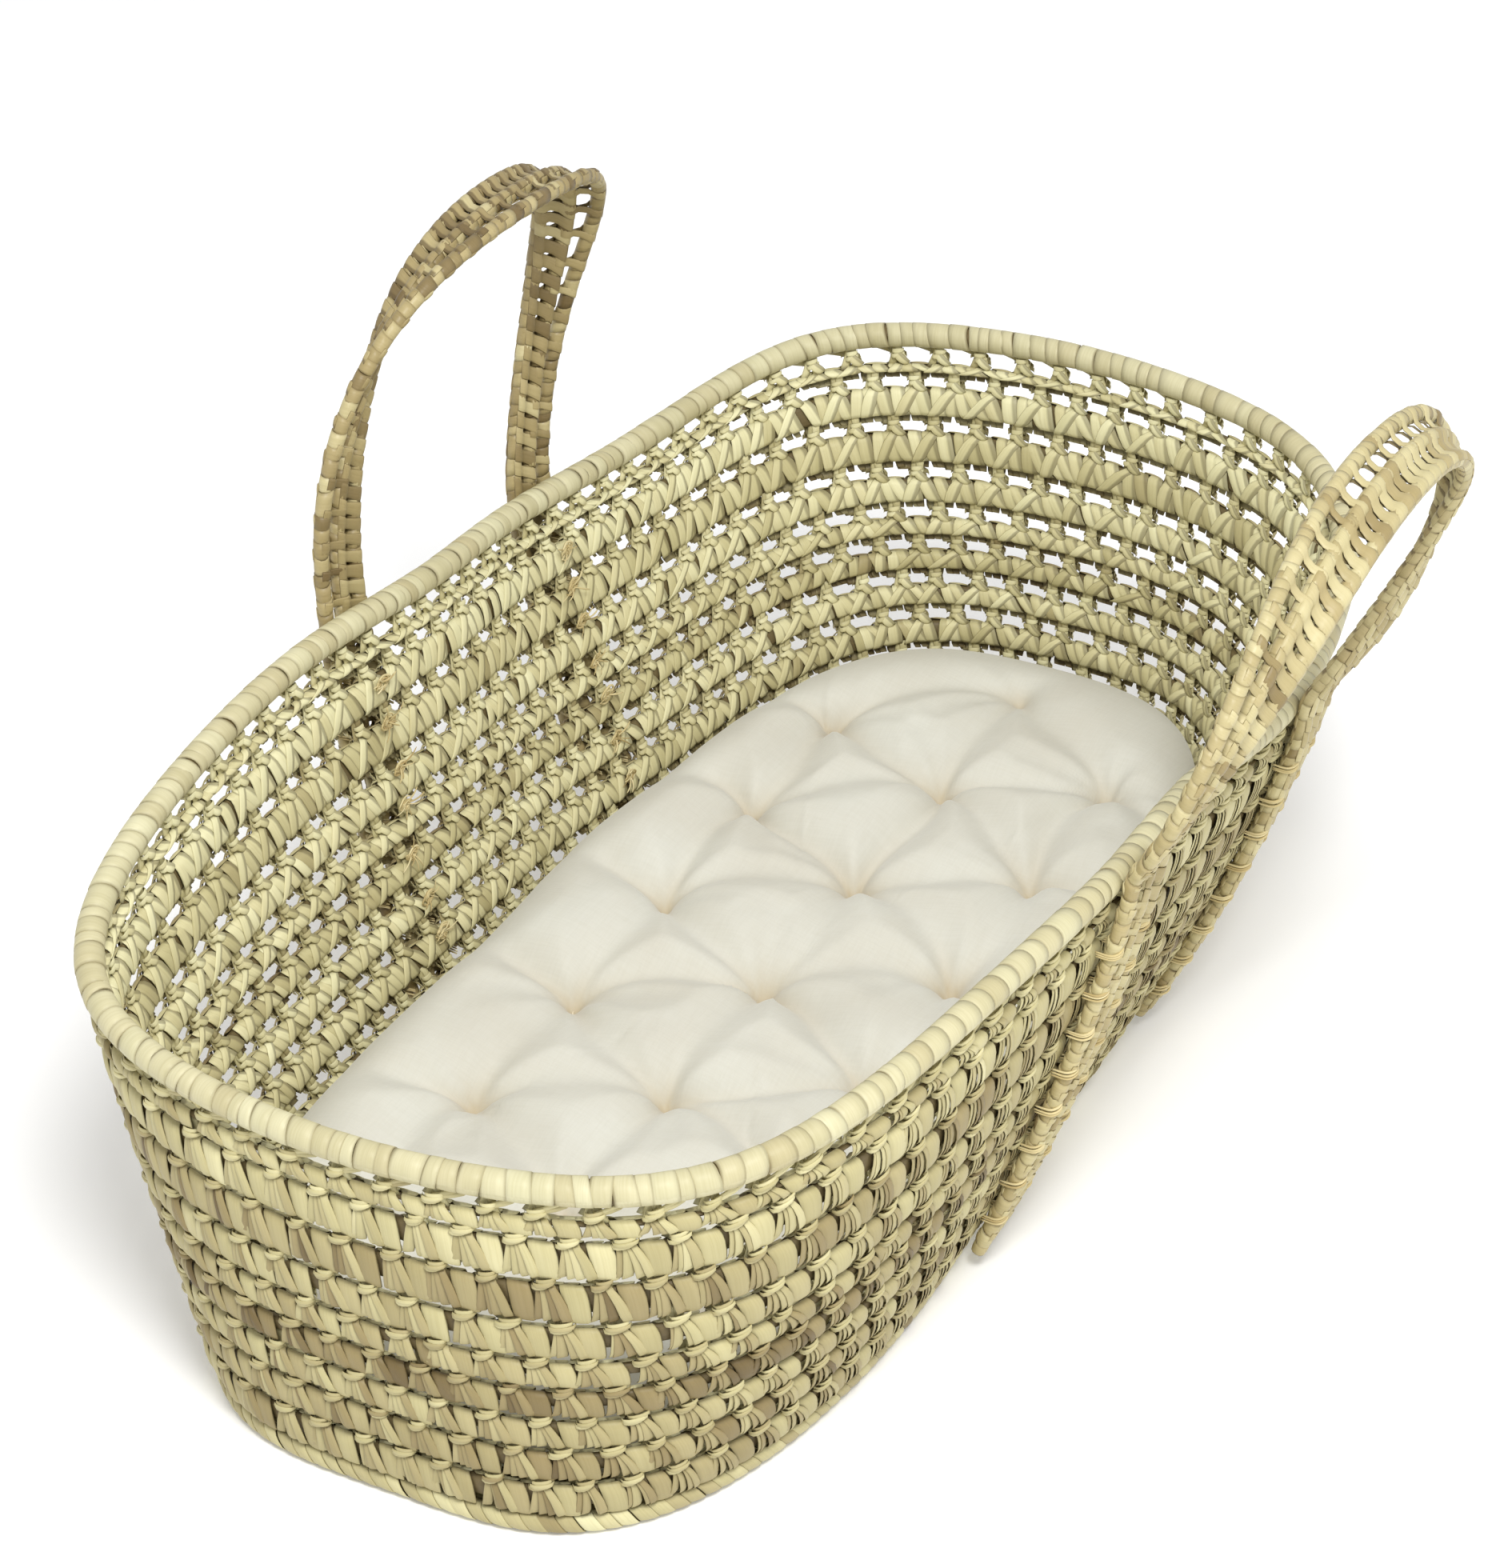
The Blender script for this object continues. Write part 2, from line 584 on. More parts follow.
def make_floor(leaf):
    """Flat coils of the floor."""
    rng = np.random.default_rng(43)
    first_inset = WALL_THICKNESS / 2 + FLOOR_ROW_GAP
    row_width = (FLOOR_HALF_WIDTH - first_inset - FLOOR_CORE_HALF_WIDTH) / FLOOR_ROWS

    def floor_map(ring, inset):
        def place(along, height, outward):
            along, height, outward = np.broadcast_arrays(along, height, outward)
            x, y = floor_outline(ring.angle(along), inset - height)
            return np.stack([x, y, FLOOR_THICKNESS / 2 + outward], -1)
        return place

    for number in range(1, FLOOR_ROWS + 1):
        inset = first_inset + (number - 0.5) * row_width
        ring = Ring(lambda angle: floor_outline(angle, inset))
        place = floor_map(ring, inset)
        mesh = Mesh()
        ring_tube(mesh, place, ring.total, row_width / 2 - 1.2, 2.6, CORE_TONE, 240)
        ring_wraps(mesh, place, ring.total, row_width / 2 - 0.6, 10, 4, rng)
        mesh.make(f"floor_row_{number}_weave", leaf, "leaf_weave", [f"floor_row_{number}"])

    # Core: a straight flat bundle with wraps across it.
    def core_place(along, height, outward):
        along, height, outward = np.broadcast_arrays(along, height, outward)
        return np.stack([along, -height, FLOOR_THICKNESS / 2 + outward], -1)

    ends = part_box("floor_core")
    low_x, high_x = ends[0].x / MM + 6, ends[1].x / MM - 6
    mesh = Mesh()
    along = np.linspace(low_x + 2, high_x - 2, 60)[:, None]
    turn = np.linspace(0, 2 * pi, 12, endpoint=False)[None, :]
    mesh.add(core_place(along, 10 * np.sin(turn), 2.6 * np.cos(turn))[None],
             np.array([CORE_TONE]), 1.0)
    wraps = np.linspace(low_x + 5, high_x - 5, int((high_x - low_x) / 9))
    plain_wraps(mesh, core_place, wraps, 11.2, 10.5, 3, rng)
    mesh.make("floor_core_weave", leaf, "leaf_weave", ["floor_core"])


# ---- wrapped hoops and rods

# Outline of one leaf band: share of its width, lift over the rod, and how dark its fold is.
BAND_ALONG = np.array([-0.02, 0.0, 0.25, 0.6, 1.0, 1.0])
BAND_LIFT = np.array([-0.9, 0.05, 0.25, 0.32, 0.3, -0.9])
BAND_FOLD = np.array([1, 1, 0.1, 0.0, 0.75, 1])
BAND_OVERLAP = 0.9


def wraps_on_path(mesh, centre, across, normal, starts, widths, radius, tone, rng, around, slant,
                  spread):
    """Leaf bands wound one after another round a path, each lapping over the last.

    centre, across and normal are arrays along the path."""
    count = len(starts)
    lengths = arc_lengths(centre)
    turn = np.linspace(0, 2 * pi, around, endpoint=False)
    phase = rng.uniform(0, 2 * pi, count) * 0.3
    lean = slant * rng.uniform(0.5, 1.4, count)
    along = starts[:, None, None] + BAND_ALONG[:, None] * (widths[:, None, None] + BAND_OVERLAP)
    along = along + (lean[:, None] * np.sin(turn + phase[:, None]))[:, None, :]
    along = np.clip(along, 0, lengths[-1])
    lift = radius + BAND_LIFT[:, None] + rng.normal(0, 0.07, (count, 1, 1))
    lift = lift + 0.12 * np.sin(2 * turn + phase[:, None])[:, None, :]
    middle, side, out = along_line(along, lengths, centre, across, normal)
    round_way = np.cos(turn)[:, None] * side + np.sin(turn)[:, None] * out
    points = middle + lift[..., None] * round_way
    tint = strip_tones(tone, spread, rng, count)
    grain = np.stack([along - starts[:, None, None] + rng.uniform(0, 500, (count, 1, 1)),
                      np.broadcast_to(turn * radius, along.shape)], -1)
    mesh.add(np.transpose(points, (0, 2, 1, 3))[:, ::-1], tint, BAND_FOLD,
             np.transpose(grain, (0, 2, 1, 3))[:, ::-1], closed=True)


def path_core(mesh, centre, across, normal, radius, closed):
    """Plain rod inside the wraps."""
    turn = np.linspace(0, 2 * pi, 10, endpoint=False)
    points = centre[:, None] + radius * round_line(turn, across, normal)
    mesh.add(points[None], np.array([CORE_TONE]), 1.0, closed=closed, flip=True)


def uneven_widths(total, small, large, rng):
    """Starts and widths of bands of uneven width that fill a length."""
    widths = []
    while sum(widths) < total:
        widths.append(rng.uniform(small, large) * (1.35 if rng.random() < 0.15 else 1))
    widths = np.array(widths) * total / sum(widths)
    return np.cumsum(widths) - widths, widths


def make_rim(leaf):
    """The hoop round the top, wound with glossy leaf."""
    rng = np.random.default_rng(55)
    angle = np.linspace(0, 2 * pi, 961)
    top = np.ones_like(angle)
    centre, outer = wall_point(angle, top, 0.0), wall_point(angle, top, 1.0)
    across = outer - centre
    tangent = np.gradient(centre, axis=0)
    tangent[0] = tangent[-1] = tangent[1]
    normal = np.cross(across, unit(tangent))
    normal *= np.sign(normal[:, 2:3])
    starts, widths = uneven_widths(arc_lengths(centre)[-1], 6.0, 14.0, rng)
    mesh = Mesh()
    path_core(mesh, centre[:-1], across[:-1], normal[:-1], RIM_RADIUS - 1.2, True)
    wraps_on_path(mesh, centre, across, normal, starts, widths, RIM_RADIUS - 0.3, 0.34, rng,
                  around=20, slant=1.5, spread=0.12)
    mesh.make("rim_wraps", leaf, "leaf_rim", ["rim_wrap", "rim_hoop"])


# ---- handles

def hinge_line(handle):
    """Ends of the line that a handle bends about, one at each leg."""
    ends = []
    for x in handle["legs"]:
        y = side_of_wall(x, 1, handle["side"]) + handle["side"] * HINGE_STANDOFF
        ends.append(Vector((x, y, rim_height(x) + HINGE_RISE)))
    return ends


def arch_frame(handle):
    """Middle of the hinge line, the way along it, up and outwards."""
    near, far = hinge_line(handle)
    along = (far - near).normalized()
    up = Vector((-along.z, 0, along.x))
    outward = Vector((0, handle["side"], 0))
    return (near + far) * 0.5, (far - near).length / 2, along, up, outward


def bezier(points, share):
    """Point and direction of a cubic curve."""
    weights = ((1 - share) ** 3, 3 * (1 - share) ** 2 * share, 3 * (1 - share) * share**2, share**3)
    slopes = (
        -3 * (1 - share) ** 2,
        3 * (1 - share) ** 2 - 6 * (1 - share) * share,
        6 * (1 - share) * share - 3 * share**2,
        3 * share**2,
    )
    place = [sum(w * p[axis] for w, p in zip(weights, points)) for axis in (0, 1)]
    slope = [sum(w * p[axis] for w, p in zip(slopes, points)) for axis in (0, 1)]
    return place, atan2(slope[1], slope[0])


def arch_outline(handle, half_span):
    """The two halves of an arch in its own plane, near leg first."""
    height, shift, rise = handle["height"], handle["shift"], handle["rise"]
    halves = []
    for side, splay, crown in zip((-1, 1), handle["splay"], handle["crown"]):
        foot = (side * half_span, 0)
        bend = (side * (half_span + rise * sin(radians(splay))), rise * cos(radians(splay)))
        halves.append((foot, bend, (shift + side * crown, height), (shift, height)))
    return halves[0], halves[1][::-1]


def strap_place(handle, share):
    """Middle of the strap at a share of the arch, and the way across it."""
    middle, half_span, along, up, outward = arch_frame(handle)
    near, far = arch_outline(handle, half_span)
    place, slope = bezier(near, 2 * share) if share <= 0.5 else bezier(far, 2 * share - 1)
    height_share = min(place[1] / handle["height"], 1)
    lean = radians(handle["lean"] - handle["curl"] * place[1])
    end_share = min(share, 1 - share)
    upright = pi / 2 if share <= 0.5 else -pi / 2
    blend = min(end_share / 0.1, 1)
    slope = upright + (slope - upright) * blend
    turn = radians(handle["turn"]) * height_share**3
    centre = middle + along * place[0]
    centre = centre + (up * cos(lean) + outward * sin(lean)) * place[1]
    inwards = along * sin(slope) - up * cos(slope)
    across = inwards * cos(turn) + outward * sin(turn)
    return centre, across


def leg_point(handle, leg, offset, level):
    """Middle of a leg rod at a level of the wall."""
    x = handle["legs"][leg] + offset - LEG_SLANT * (1 - level)
    lift = max(0, (level - LEG_LIFT_LEVEL) / (1 - LEG_LIFT_LEVEL)) ** 2
    standoff = LEG_STANDOFF + (HINGE_STANDOFF - LEG_STANDOFF) * lift
    y = side_of_wall(x, level, handle["side"]) + handle["side"] * standoff
    return Vector((x, y, level * rim_height(x)))


class Strap:
    """Middle line of a whole strap, leg to leg over the arch, with the way across it."""

    def __init__(self, handle):
        line = self.leg(handle, 0, 1)
        line += [strap_place(handle, share) for share in np.linspace(0, 1, 97)]
        line += self.leg(handle, 1, -1)[::-1]
        centre, across = (np.array(column) for column in zip(*line))
        lengths = arc_lengths(centre)
        centre, across = along_line(np.arange(0, lengths[-1], 3.0), lengths, centre, across)
        for _ in range(6):
            centre, across = soften(centre), soften(across)
        tangent = unit(np.gradient(centre, axis=0))
        across -= np.sum(across * tangent, axis=1)[:, None] * tangent
        self.centre, self.across = centre, unit(across)
        self.normal = np.cross(tangent, self.across)
        self.lengths = arc_lengths(centre)
        self.total = self.lengths[-1]

    @staticmethod
    def leg(handle, leg, sign):
        """Points up one leg, each with the way across it."""
        points = []
        for level in np.linspace(0.045, 0.93, 22):
            ahead = leg_point(handle, leg, ROD_PITCH, level)
            back = leg_point(handle, leg, -ROD_PITCH, level)
            points.append((leg_point(handle, leg, 0, level), (ahead - back).normalized() * sign))
        return points

    def place(self, along, across, outward):
        """Map from (along, across, outward) into space."""
        along, across, outward = np.broadcast_arrays(along, across, outward)
        middle, side, out = along_line(along, self.lengths, self.centre, self.across, self.normal)
        return middle + across[..., None] * side + outward[..., None] * out


def make_strap(name, handle, leaf):
    """Three wound rods and the leaf that laces them together."""
    rng = np.random.default_rng(70 if name == "left" else 71)
    tone = 0.72 if name == "left" else 0.5
    strap = Strap(handle)
    pieces = []
    for rod_name, offset in (("outer", -ROD_PITCH), ("middle", 0.0), ("inner", ROD_PITCH)):
        centre = strap.centre + strap.across * offset
        starts, widths = uneven_widths(arc_lengths(centre)[-1], 5.0, 10.5, rng)
        mesh = Mesh()
        path_core(mesh, centre, strap.across, strap.normal, ROD_RADIUS - 1.0, False)
        wraps_on_path(mesh, centre, strap.across, strap.normal, starts, widths, ROD_RADIUS - 0.2,
                      tone, rng, around=12, slant=1.3, spread=0.13)
        nodes = [f"{name}_handle_{rod_name}_rod"]
        if rod_name == "outer":
            nodes += [f"{name}_near_leg_rods", f"{name}_far_leg_rods"]
        pieces.append(mesh.make(f"{name}_{rod_name}_rod_wraps", leaf, "leaf_handle", nodes, None))

    # Lacing: an open ladder between the outer and middle rods, a closed plait on the other side.
    mesh = Mesh()
    share = np.linspace(-1, 1, 11)
    reach = ROD_PITCH / 2 + 3.6
    # Height over the strap: round over each rod, down between them.
    off_rod = np.abs(np.abs(share) * reach - ROD_PITCH / 2)
    out = np.sqrt(np.clip((ROD_RADIUS + 0.35) ** 2 - off_rod**2, 0.05, None))
    out = np.where(np.abs(share) < 0.7, np.maximum(out, 1.4), out)
    for gap, pitch, width, lean in ((-0.5, 17.0, 6.4, 2.6), (0.5, 9.5, 10.0, 4.6)):
        count = int(strap.total / pitch) - 1
        places = (np.arange(count) + 0.7) * strap.total / (count + 0.6) + rng.normal(0, 0.6, count)
        for face in (-1, 1):
            across = (gap * ROD_PITCH + share * reach)[None, :, None]
            along = places[:, None] + face * lean * share[None, :]
            pinch = width * (1 - 0.28 * np.cos(share * pi / 2) ** 2)
            pinch = pinch * rng.uniform(0.85, 1.15, (count, 1))
            side, rise = strip_section(pinch, out, 0.3, 0.35, 0.8)
            points = strap.place(along[..., None] + side, across, face * rise)
            tint = strip_tones(tone, 0.13, rng, count)
            grain = strip_grain(side, (share * reach)[None, :, None], rng)
            mesh.add(points, tint, STRIP_FOLD, grain, flip=face > 0)
    nodes = [f"{name}_handle_links", f"{name}_near_leg_links", f"{name}_far_leg_links"]
    pieces.append(mesh.make(f"{name}_strap_lacing", leaf, "leaf_handle", nodes, None))
    for piece in pieces:
        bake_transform(piece)


def thread(mesh, points, radius, tint):
    """One string along a few points, smoothed."""
    points = np.array(points, float)
    for _ in range(2):
        middle = (points[:-1] + points[1:]) / 2
        merged = np.empty((len(points) + len(middle), 3))
        merged[0::2], merged[1::2] = points, middle
        points = soften(merged)
    tangent = unit(np.gradient(points, axis=0))
    side = unit(np.cross(tangent, np.array([0.3, 0.5, 0.81])))
    turn = np.linspace(0, 2 * pi, 6, endpoint=False)
    taper = radius * (1 - 0.5 * np.linspace(-1, 1, len(points)) ** 4)
    ring = round_line(turn, side, np.cross(tangent, side))
    grain = np.stack(np.broadcast_arrays(turn * 2, np.arange(len(points))[:, None]), -1)
    surface = points[:, None] + taper[:, None, None] * ring
    mesh.add(surface[None], np.array([tint]), 0.0, grain[None])


def make_ties(name, handle, leg, raffia):
    """Raffia strings that tie a leg to the wall, and their frayed knots inside the basket."""
    rng = np.random.default_rng(sum(map(ord, name)))
    side = handle["side"]
    mesh = Mesh()
    for i in range(TIE_COUNT):
        level = 0.15 + 0.7 * i / (TIE_COUNT - 1)
        for offset in (-ROD_PITCH, ROD_PITCH):
            place = np.array(leg_point(handle, leg, offset, level))
            for strand in (-1, 0, 1):
                turn = np.linspace(-0.15 * pi, 1.15 * pi, 9) + rng.normal(0, 0.05)
                radius = ROD_RADIUS + 1.3
                loop = np.stack([
                    place[0] + radius * np.cos(turn),
                    place[1] + side * radius * np.sin(turn) * 0.98 - side * 0.3,
                    place[2] + strand * 1.5 + rng.normal(0, 0.4) + 1.5 * np.cos(turn),
                ], -1)
                loop[[0, -1], 1] -= side * 4.5
                thread(mesh, loop, 0.75, rng.uniform(0.2, 0.8))
        # Knot on the inside of the wall, with loose ends.
        x = handle["legs"][leg] - LEG_SLANT * (1 - level) + rng.normal(0, 2.5)
        y = side_of_wall(x, level, side) - side * 5.0
        z = level * rim_height(x) + rng.normal(0, 1.5)
        for _ in range(7):
            turn = np.linspace(0, rng.uniform(1.2, 2.0) * pi, 7) + rng.uniform(0, 6)
            reach = rng.uniform(3.5, 6.5)
            loop = np.stack([
                x + reach * np.cos(turn) + rng.normal(0, 1.2),
                y - side * (1.2 + 1.6 * np.abs(np.sin(turn * 1.5 + 1))),
                z + 0.6 * reach * np.sin(turn) + rng.normal(0, 1.2),
            ], -1)
            thread(mesh, loop, rng.uniform(0.45, 0.8), rng.uniform(0.1, 0.9))
        for _ in range(6):
            heading = rng.uniform(0, 2 * pi)
            reach = rng.uniform(7, 15)
            out = rng.uniform(2, 7)
            tip = np.array([x + reach * cos(heading), y - side * out,
                            z + reach * 0.8 * sin(heading)])
            middle = np.array([x, y - side * (out * 0.7 + 1.5), z]) * 0.5 + tip * 0.5
            thread(mesh, [[x, y - side * 1.5, z], middle, tip], rng.uniform(0.3, 0.55),
                   rng.uniform(0, 1))
    mesh.make(f"{name}_leg_raffia", raffia, "raffia", [f"{name}_leg_ties"])


# ---- mattress

def tuft_places():
    """Tufts in three rows, the middle row staggered."""
    middle = [(TUFT_MIDDLE_FIRST + TUFT_MIDDLE_PITCH * i, 0) for i in range(TUFT_COUNT)]
    sides = [
        (TUFT_SIDE_FIRST + TUFT_SIDE_PITCH * i, y)
        for y in (-TUFT_SIDE_ROW, TUFT_SIDE_ROW)
        for i in range(TUFT_COUNT)
    ]
    return np.array(middle + sides, float)


def mattress_outline(angle):
    """Edge of the mattress, at the height where it is widest."""
    inset = WALL_THICKNESS / 2 + MATTRESS_MARGIN
    return wall_point(angle, MATTRESS_WIDEST / rim_height(rim_outline(angle)[0]), -inset)


def fold_lines(tufts, rng):
    """Folds of the cover: between neighbouring tufts, out to the edge, and short ones.

    Each is its two ends, how shallow it gets on the way, and whether it ends at a tuft."""
    lines = []
    for i, first in enumerate(tufts):
        for second in tufts[:i]:
            if np.hypot(*(second - first)) < FOLD_REACH:
                lines.append((first, second, rng.uniform(3, 13), True))
        for _ in range(4):
            heading, reach = rng.uniform(0, 2 * pi), rng.uniform(30, 62)
            end = first + reach * np.array([cos(heading), sin(heading)])
            lines.append((first, end, rng.uniform(14, 26), False))
        if first[1]:
            end = first + np.array([rng.uniform(-25, 25), np.sign(first[1]) * 75])
            lines.append((first, end, rng.uniform(8, 16), False))
    return lines


def fold_distance(x, y, lines, rng):
    """Distance to the nearest fold, never zero where a fold is shallow."""
    nearest = np.full_like(x, 1e9)
    for first, second, shallow, both in lines:
        span = np.hypot(*(second - first))
        way = (second - first) / span
        along = (x - first[0]) * way[0] + (y - first[1]) * way[1]
        off = (y - first[1]) * way[0] - (x - first[0]) * way[1]
        share = np.clip(along / span, 0, 1)
        bend = rng.uniform(-0.1, 0.1) * span * np.sin(pi * share)
        bend = bend + rng.uniform(-0.04, 0.04) * span * np.sin(2 * pi * share)
        beyond = along - share * span
        rise = np.sin(pi * share) ** 1.4 if both else share**1.2
        apart = np.sqrt((off - bend) ** 2 + beyond**2 + (shallow * rise) ** 2)
        nearest = np.minimum(nearest, apart)
    return nearest


def make_mattress(cotton, thread_material):
    """Puffed pad: a closed grid, drawn in at the tufts and folded between them."""
    rng = np.random.default_rng(90)
    tufts = tuft_places()
    columns, rows = MATTRESS_GRID
    u, v = np.meshgrid(np.linspace(-1, 1, columns + 1), np.linspace(-1, 1, rows + 1), indexing="ij")
    share = np.maximum(np.abs(u), np.abs(v))
    edge = mattress_outline(np.arctan2(v * FLOOR_HALF_WIDTH, u * FLOOR_HALF_LENGTH))
    x, y = edge[..., 0] * share, edge[..., 1] * share
    # Crowned section: round at the edge, puffed inside, hollow at each tuft.
    reach = np.hypot(edge[..., 0], edge[..., 1])
    inner = np.minimum((1 - share) * np.minimum(reach, 175), 60)
    crown = np.sqrt(1 - (1 - np.clip(inner / EDGE_REACH, 0, 1)) ** 2)
    middle = (MATTRESS_TOP + MATTRESS_BOTTOM) / 2
    nearest = np.min([np.hypot(x - place[0], y - place[1]) for place in tufts], axis=0)
    puff = np.clip(fold_distance(x, y, fold_lines(tufts, rng), rng) / PUFF_REACH, 0, 1)
    puff = PUFF_HEIGHT * np.sqrt(1 - (1 - puff) ** 2)
    puff = puff - TUFT_HOLLOW * np.exp(-((nearest / TUFT_HOLLOW) ** 1.2))
    puff = puff + 1.6 * np.sin(x / 61 + 1) * np.sin(y / 43) + 1.2 * np.sin(x / 23 + y / 31)
    fade = np.clip(inner / 36, 0.12, 1)
    drawn_in = soften(soften(puff - PUFF_HEIGHT + 7).T).T
    top = middle + (MATTRESS_TOP - middle) * crown + drawn_in * fade
    flat = np.clip(inner / UNDERSIDE_REACH, 0, 1)
    bottom = middle - (middle - MATTRESS_BOTTOM) * flat**0.5
    bottom = bottom + 5 * np.exp(-((nearest / 12) ** 1.2)) * flat
    points = np.stack([[x, y, top], [x, y, bottom]]).transpose(0, 2, 3, 1).reshape(-1, 3)
    # How deep in a fold each point of the top is, for the cotton's colour.
    depth = np.clip(1 - (puff + 3) / (PUFF_HEIGHT * 0.75), 0, 1) ** 1.5 * fade
    depth = np.concatenate([depth.ravel(), np.zeros(depth.size)])
    # The top and the bottom share the points of the edge.
    index = np.arange(share.size).reshape(share.shape)
    below = np.where(share == 1, index, index + share.size)
    faces = np.concatenate([
        np.stack([index[:-1, :-1], index[1:, :-1], index[1:, 1:], index[:-1, 1:]], -1),
        np.stack([below[:-1, :-1], below[:-1, 1:], below[1:, 1:], below[1:, :-1]], -1),
    ]).reshape(-1, 4)
    used, packed = np.unique(faces, return_inverse=True)
    faces, points = packed.reshape(-1, 4), points[used]
    mesh = bpy.data.meshes.new("mattress_pad")
    mesh.from_pydata((points * MM).tolist(), [], faces.tolist())
    mesh.attributes.new("fold", "FLOAT", "POINT").data.foreach_set("value", depth[used])
    mesh.polygons.foreach_set("use_smooth", np.full(len(faces), True))
    mesh.materials.append(cotton)
    pad = add_object("mattress_pad", mesh)
    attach(pad, "mattress")
    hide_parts("mattress_cover", "mattress_filling")
    stitches = Mesh()
    for place in tufts:
        base = np.array([place[0], place[1], MATTRESS_TOP - 22.0])
        for _ in range(3):
            heading = rng.uniform(0, 2 * pi)
            way = np.array([cos(heading), sin(heading), 0]) * rng.uniform(2.0, 3.2)
            loop = [base - way + [0, 0, -1.5], base + [0, 0, 1.2], base + way + [0, 0, -1.5]]
            thread(stitches, loop, 0.45, rng.uniform(0.2, 0.8))
        thread(stitches, [base + [0, 0, -1], [place[0], place[1], MATTRESS_BOTTOM + 3.5]], 0.5, 0.5)
    stitches.make("mattress_stitches", thread_material, "thread", ["mattress_tufts"], "mattress")


# ---- materials

def srgb(red, green, blue):
    """Linear colour from 0 to 255 display values."""
    values = [channel / 255 for channel in (red, green, blue)]
    return [v / 12.92 if v <= 0.04045 else ((v + 0.055) / 1.055) ** 2.4 for v in values] + [1]


def new_material(name):
    """Empty material with its node tree and shader."""
    material = bpy.data.materials.new(name)
    material.use_nodes = True
    tree = material.node_tree
    return material, tree, tree.nodes["Principled BSDF"]


def set_inputs(tree, node, inputs):
    """Fill a node's inputs with numbers, colours or the sockets of other nodes."""
    for key, value in inputs.items():
        if isinstance(value, bpy.types.NodeSocket):
            tree.links.new(value, node.inputs[key])
        else:
            node.inputs[key].default_value = value


def add_node(tree, kind, output, inputs, **settings):
    """New node with its settings and inputs. Returns one of its outputs."""
    node = tree.nodes.new(kind)
    for key, value in settings.items():
        setattr(node, key, value)
    set_inputs(tree, node, inputs)
    return node.outputs[output]


def attribute(tree, name, output):
    """Socket of a named attribute."""
    return add_node(tree, "ShaderNodeAttribute", output, {}, attribute_name=name)


def ramp(tree, source, stops):
    """Colour ramp over a socket."""
    node = tree.nodes.new("ShaderNodeValToRGB")
    band = node.color_ramp
    while len(band.elements) < len(stops):
        band.elements.new(0.5)
    for element, (position, colour) in zip(band.elements, stops):
        element.position = position
        element.color = colour
    set_inputs(tree, node, {"Fac": source})
    return node.outputs["Color"]


def noise(tree, vector, scale, detail, stretch=(1, 1, 1)):
    """Noise over a vector socket."""
    place = add_node(tree, "ShaderNodeMapping", "Vector", {"Vector": vector, "Scale": stretch})
    return add_node(tree, "ShaderNodeTexNoise", "Fac",
                    {"Vector": place, "Scale": scale, "Detail": detail})


def mix(tree, kind, amount, first, second):
    """Mix of two colours by an amount, a number or a socket."""
    # A mix node's colours are its inputs 6 and 7 and its output 2.
    return add_node(tree, "ShaderNodeMix", 2, {0: amount, 6: first, 7: second},
                    data_type="RGBA", blend_type=kind)


def stain(tree, base, amount, source, dark, light):
    """Colour multiplied by a texture. dark and light are its stops: position and colour."""
    stops = [(position, (*colour, 1)) for position, colour in (dark, light)]
    return mix(tree, "MULTIPLY", amount, base, ramp(tree, source, stops))


def relief(tree, height, strength, distance):
    """Fine relief from a texture."""
    return add_node(tree, "ShaderNodeBump", "Normal",
                    {"Height": height, "Strength": strength, "Distance": distance})


def leaf_material(name, stops, dark, roughness, seam, gloss):
    """Dry palm leaf: tinted strips with fine veins along them and dark seams.

    stops are positions and display colours over the tint, and seam is how dark the seams are."""
    material, tree, shader = new_material(name)
    grain = attribute(tree, "grain", "Vector")
    base = ramp(tree, attribute(tree, "tint", "Fac"),
                [(position, srgb(*colour)) for position, colour in stops])
    patches = noise(tree, grain, 1.0, 1.0, (0.05, 0.03, 1))
    base = stain(tree, base, 0.5, patches, (0.3, (0.8, 0.78, 0.68)), (0.65, (1.05, 1.04, 1.02)))
    veins = noise(tree, grain, 1.0, 1.0, (1.1, 0.03, 1))
    base = stain(tree, base, 0.4, veins, (0.3, (0.84, 0.82, 0.74)), (0.6, (1, 1, 1)))
    seams = ramp(tree, attribute(tree, "fold", "Fac"), [(0.55, (0, 0, 0, 1)), (1.0, (1, 1, 1, 1))])
    shade = mix(tree, "MIX", seam, (0, 0, 0, 1), seams)
    base = mix(tree, "MIX", shade, base, srgb(*dark))
    rough = add_node(tree, "ShaderNodeMapRange", "Result",
                     {"Value": veins, "To Min": roughness - 0.1, "To Max": roughness + 0.12})
    set_inputs(tree, shader, {
        "Base Color": base, "Roughness": rough, "Specular IOR Level": gloss,
        "Normal": relief(tree, veins, 0.35, 0.0004),
    })
    return material


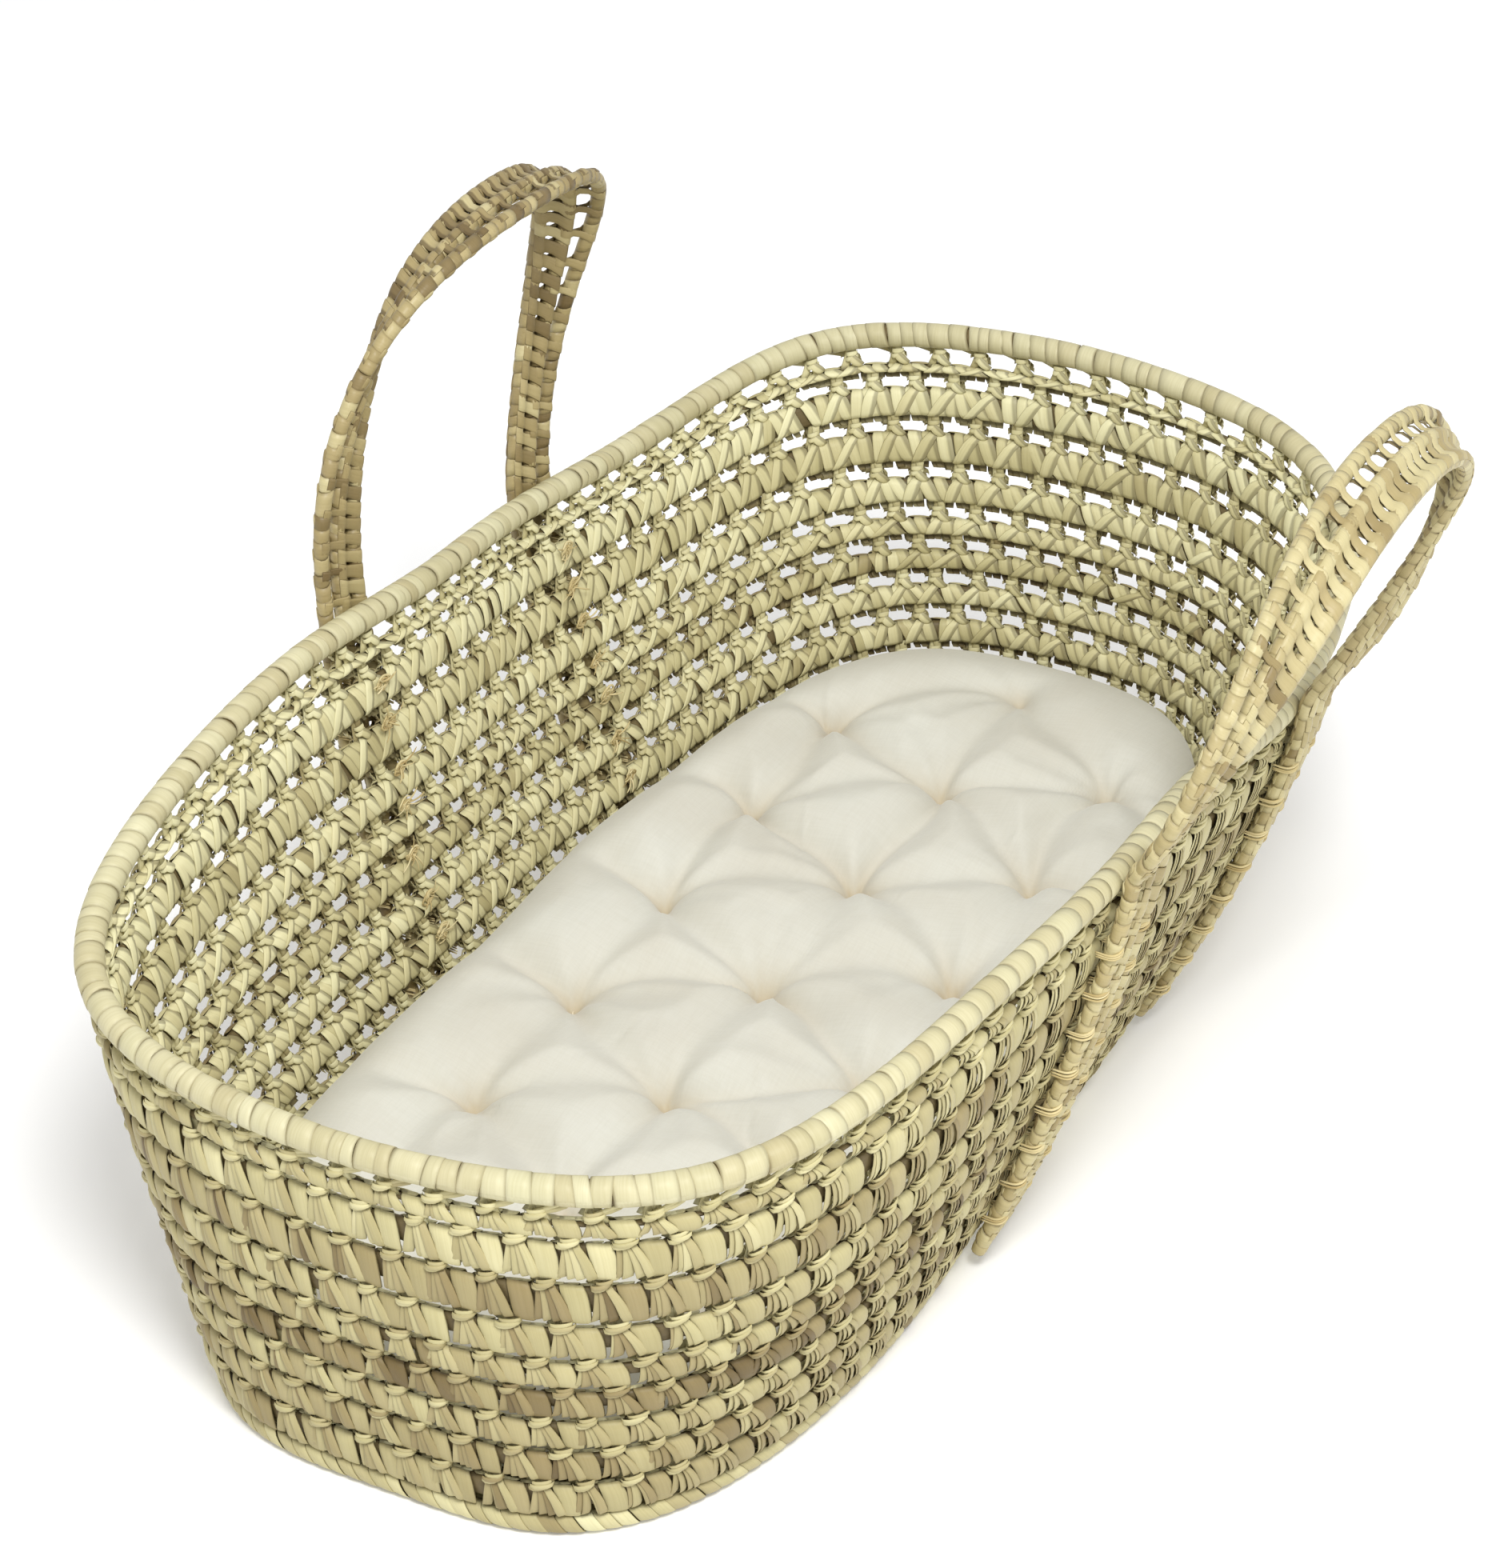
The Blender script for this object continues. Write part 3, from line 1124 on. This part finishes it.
def cotton_material(name):
    """Unbleached cotton with a fine plain weave, a little darker and warmer in the folds."""
    material, tree, shader = new_material(name)
    texture = add_node(tree, "ShaderNodeTexCoord", "Object", {})
    slubs = noise(tree, texture, 1.0, 3.0, (900, 60, 60))
    cross_slubs = noise(tree, texture, 1.0, 3.0, (60, 900, 60))
    clouds = noise(tree, texture, 14.0, 3.0)
    base = ramp(tree, clouds, [(0.3, srgb(203, 200, 188)), (0.7, srgb(210, 209, 199))])
    for threads in (slubs, cross_slubs):
        base = stain(tree, base, 0.22, threads, (0.35, (0.9, 0.89, 0.86)), (0.6, (1, 1, 1)))
    base = mix(tree, "MIX", attribute(tree, "fold", "Fac"), base, srgb(184, 171, 144))
    height = add_node(tree, "ShaderNodeMath", 0, {0: slubs, 1: cross_slubs}, operation="ADD")
    set_inputs(tree, shader, {
        "Base Color": base, "Roughness": 0.9, "Sheen Weight": 0.25, "Specular IOR Level": 0.15,
        "Normal": relief(tree, height, 0.25, 0.0003),
    })
    return material


# ---- camera, light and floor

def make_camera():
    """Camera where the object was seen from."""
    forward = Vector((cos(CAMERA_PITCH) * sin(CAMERA_YAW), cos(CAMERA_PITCH) * cos(CAMERA_YAW),
                      sin(CAMERA_PITCH)))
    right = forward.cross(Vector((0, 0, 1))).normalized()
    up = right.cross(forward)
    right, up = (right * cos(CAMERA_ROLL) + up * sin(CAMERA_ROLL),
                 up * cos(CAMERA_ROLL) - right * sin(CAMERA_ROLL))
    data = bpy.data.cameras.new("camera")
    data.sensor_width = 36
    data.lens = CAMERA_LENS
    data.shift_x, data.shift_y = CAMERA_SHIFT
    data.clip_end = 50
    camera = add_object("camera", data)
    turn = Matrix((right, up, -forward)).transposed().to_4x4()
    camera.matrix_world = Matrix.Translation(CAMERA_PLACE) @ turn
    bpy.context.scene.camera = camera


def make_light(name, place, target, size, power):
    """Soft round light that faces a point."""
    data = bpy.data.lights.new(name, "AREA")
    data.shape = "DISK"
    data.size = size
    data.energy = power
    light = add_object(name, data)
    light.location = place
    light.rotation_euler = (Vector(target) - Vector(place)).to_track_quat("-Z", "Y").to_euler()


def make_studio():
    """Even white light, two soft lamps and the pale ground."""
    world = bpy.data.worlds.new("studio")
    world.use_nodes = True
    world.node_tree.nodes["Background"].inputs["Color"].default_value = (1, 1, 1, 1)
    world.node_tree.nodes["Background"].inputs["Strength"].default_value = WORLD_STRENGTH
    bpy.context.scene.world = world
    bpy.context.scene.view_settings.view_transform = "Standard"
    for name, values in LAMPS.items():
        make_light(name, *values)
    mesh = bpy.data.meshes.new("floor")
    corners = [(x * GROUND_REACH, y * GROUND_REACH, GROUND_DROP)
               for x, y in ((-1, -1), (1, -1), (1, 1), (-1, 1))]
    mesh.from_pydata(corners, [], [(0, 1, 2, 3)])
    material, tree, shader = new_material("floor")
    set_inputs(tree, shader, {
        "Base Color": (0.9, 0.9, 0.9, 1), "Roughness": 0.8,
        "Emission Color": (1, 1, 1, 1), "Emission Strength": GROUND_GLOW,
    })
    mesh.materials.append(material)
    add_object("floor", mesh)


# ---- everything

make_camera()
make_studio()
weave_leaf = leaf_material(
    "palm_leaf_weave",
    [(0.0, (226, 222, 182)), (0.28, (212, 205, 162)), (0.5, (190, 182, 138)),
     (0.7, (172, 161, 119)), (0.88, (146, 131, 92)), (1.0, (100, 84, 52))],
    (72, 60, 36), roughness=0.5, seam=0.5, gloss=0.3,
)
rim_leaf = leaf_material(
    "palm_leaf_rim",
    [(0.0, (208, 204, 170)), (0.4, (195, 188, 152)), (0.7, (182, 172, 134)),
     (1.0, (120, 102, 64))],
    (104, 88, 52), roughness=0.5, seam=0.7, gloss=0.35,
)
handle_leaf = leaf_material(
    "palm_leaf_handle",
    [(0.0, (208, 201, 160)), (0.4, (194, 183, 140)), (0.7, (166, 150, 106)),
     (1.0, (108, 90, 56))],
    (92, 76, 46), roughness=0.45, seam=0.75, gloss=0.4,
)
raffia = leaf_material(
    "raffia_string",
    [(0.0, (222, 210, 168)), (0.5, (206, 190, 142)), (1.0, (176, 154, 106))],
    (120, 96, 56), roughness=0.6, seam=0.0, gloss=0.25,
)
cotton = cotton_material("unbleached_cotton")
cotton_thread = leaf_material(
    "cotton_thread", [(0.0, (226, 216, 194)), (1.0, (206, 196, 172))],
    (180, 170, 150), roughness=0.8, seam=0.0, gloss=0.15,
)
make_rim(rim_leaf)
make_wall(weave_leaf)
make_foot(weave_leaf)
make_floor(weave_leaf)
for handle_name, handle in HANDLES.items():
    make_strap(handle_name, handle, handle_leaf)
    make_ties(f"{handle_name}_near", handle, 0, raffia)
    make_ties(f"{handle_name}_far", handle, 1, raffia)
make_mattress(cotton, cotton_thread)
